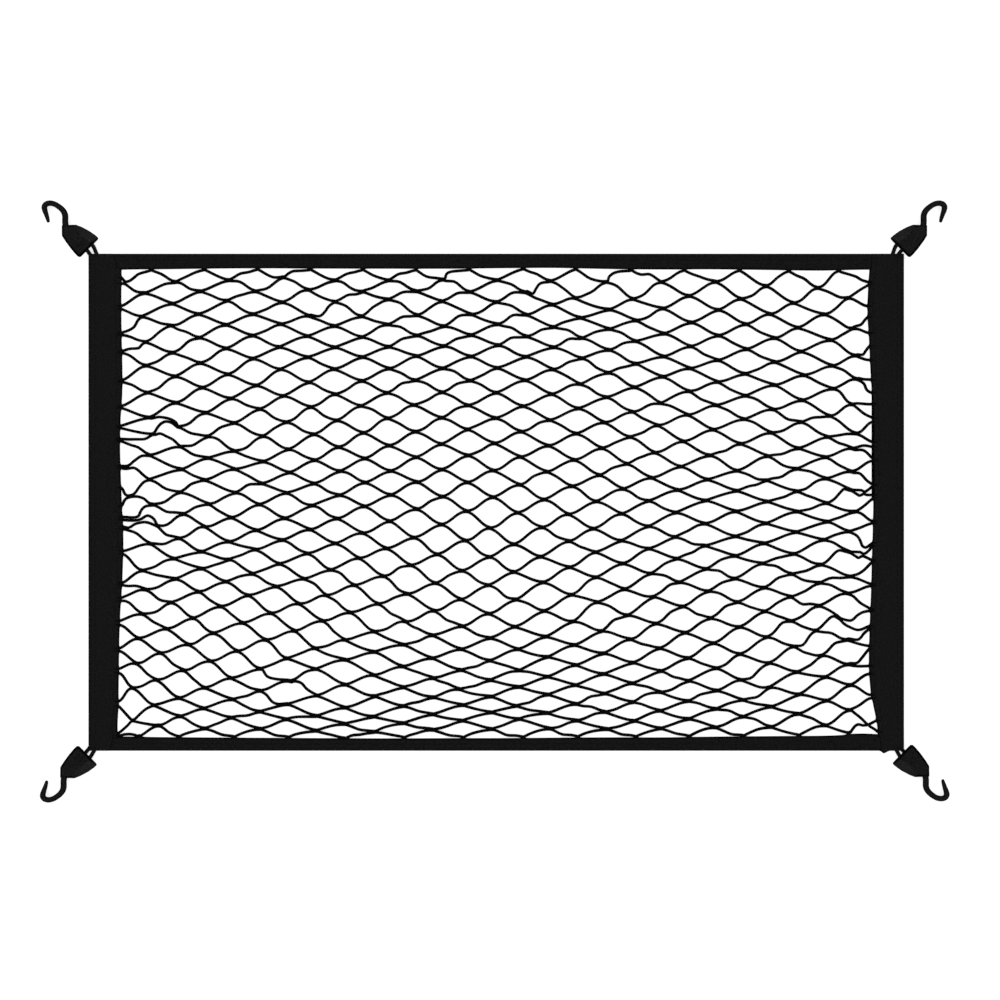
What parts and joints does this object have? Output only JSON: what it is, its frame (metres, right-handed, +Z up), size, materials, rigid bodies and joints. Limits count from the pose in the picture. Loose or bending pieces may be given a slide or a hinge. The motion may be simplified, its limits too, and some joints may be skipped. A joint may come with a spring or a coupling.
{
  "type": "elastic cargo net with corner hooks",
  "caption": "Elastic diamond-mesh cargo net in a webbing frame, with a moulded hook on a cord loop at each corner, for holding loads in a boot.",
  "frame": {"origin": "on the surface that the net lies on, at the middle of its outline seen from above", "axes": "+X along the long side, +Y towards the top edge, +Z up out of the net"},
  "size_m": [0.9084, 0.6012, 0.0104],
  "materials": {
    "net_cord": "braided elastic cord, matte black",
    "band_webbing": "woven elastic webbing, matte black",
    "hook_plastic": "moulded plastic, satin black",
    "loop_cord": "braided elastic cord, matte black"
  },
  "bodies": {
    "root": {"net": "net_cord", "band_left": "band_webbing", "band_right": "band_webbing", "band_top": "band_webbing", "band_bottom": "band_webbing", "hook_top_left": "hook_plastic", "hook_top_right": "hook_plastic", "hook_bottom_left": "hook_plastic", "hook_bottom_right": "hook_plastic", "loop_top_left": "loop_cord", "loop_top_right": "loop_cord", "loop_bottom_left": "loop_cord", "loop_bottom_right": "loop_cord"}
  },
  "joints": []
}
